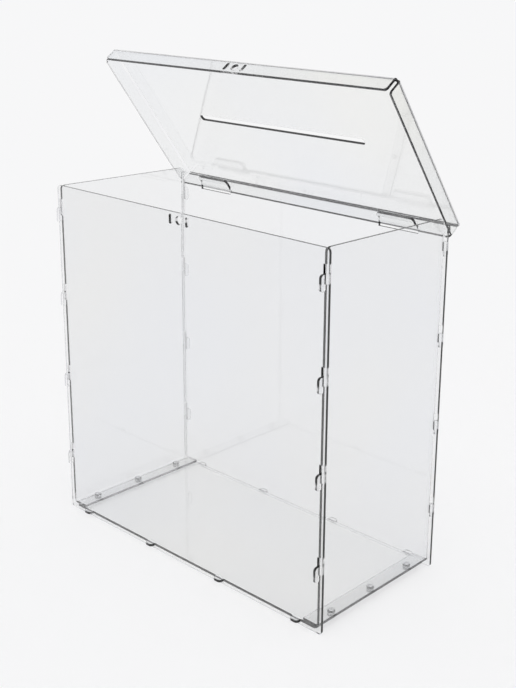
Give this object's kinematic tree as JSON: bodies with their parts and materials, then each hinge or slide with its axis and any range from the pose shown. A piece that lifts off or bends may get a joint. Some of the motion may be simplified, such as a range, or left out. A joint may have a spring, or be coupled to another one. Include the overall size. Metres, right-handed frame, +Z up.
{
  "type": "ballot box",
  "caption": "Clear flat-pack ballot box of hooked plastic sheets, with a hinged tray lid that has a long entry slot and seal holes at the front.",
  "frame": {"origin": "on the floor, under the middle of the outline seen from above with the lid propped open as stored", "axes": "+Z up from the floor, -Y out of the front panel that carries the seal holes, +X to the right seen from the front"},
  "size_m": [0.408, 0.2026, 0.5322],
  "materials": {
    "clear_sheet": "clear polished sheet with darker cut edges",
    "clear_lid_sheet": "clear polished sheet, cold folded, with darker cut edges",
    "rivet_plastic": "smooth moulded, slightly cloudy"
  },
  "bodies": {
    "box": {"front_panel": "clear_sheet", "rear_panel": "clear_sheet", "left_panel": "clear_sheet", "right_panel": "clear_sheet", "base_plate": "clear_sheet", "rivet_left_front": "rivet_plastic", "rivet_left_middle": "rivet_plastic", "rivet_left_rear": "rivet_plastic", "rivet_right_front": "rivet_plastic", "rivet_right_middle": "rivet_plastic", "rivet_right_rear": "rivet_plastic"},
    "lid": {"lid": "clear_lid_sheet"}
  },
  "joints": [
    {"name": "lid_hinge", "type": "hinge", "parent": "box", "child": "lid", "pos_m": [0, 0.08401, 0.3736], "axis": [-1, 0, 0], "range_deg": [-54, 6]}
  ]
}
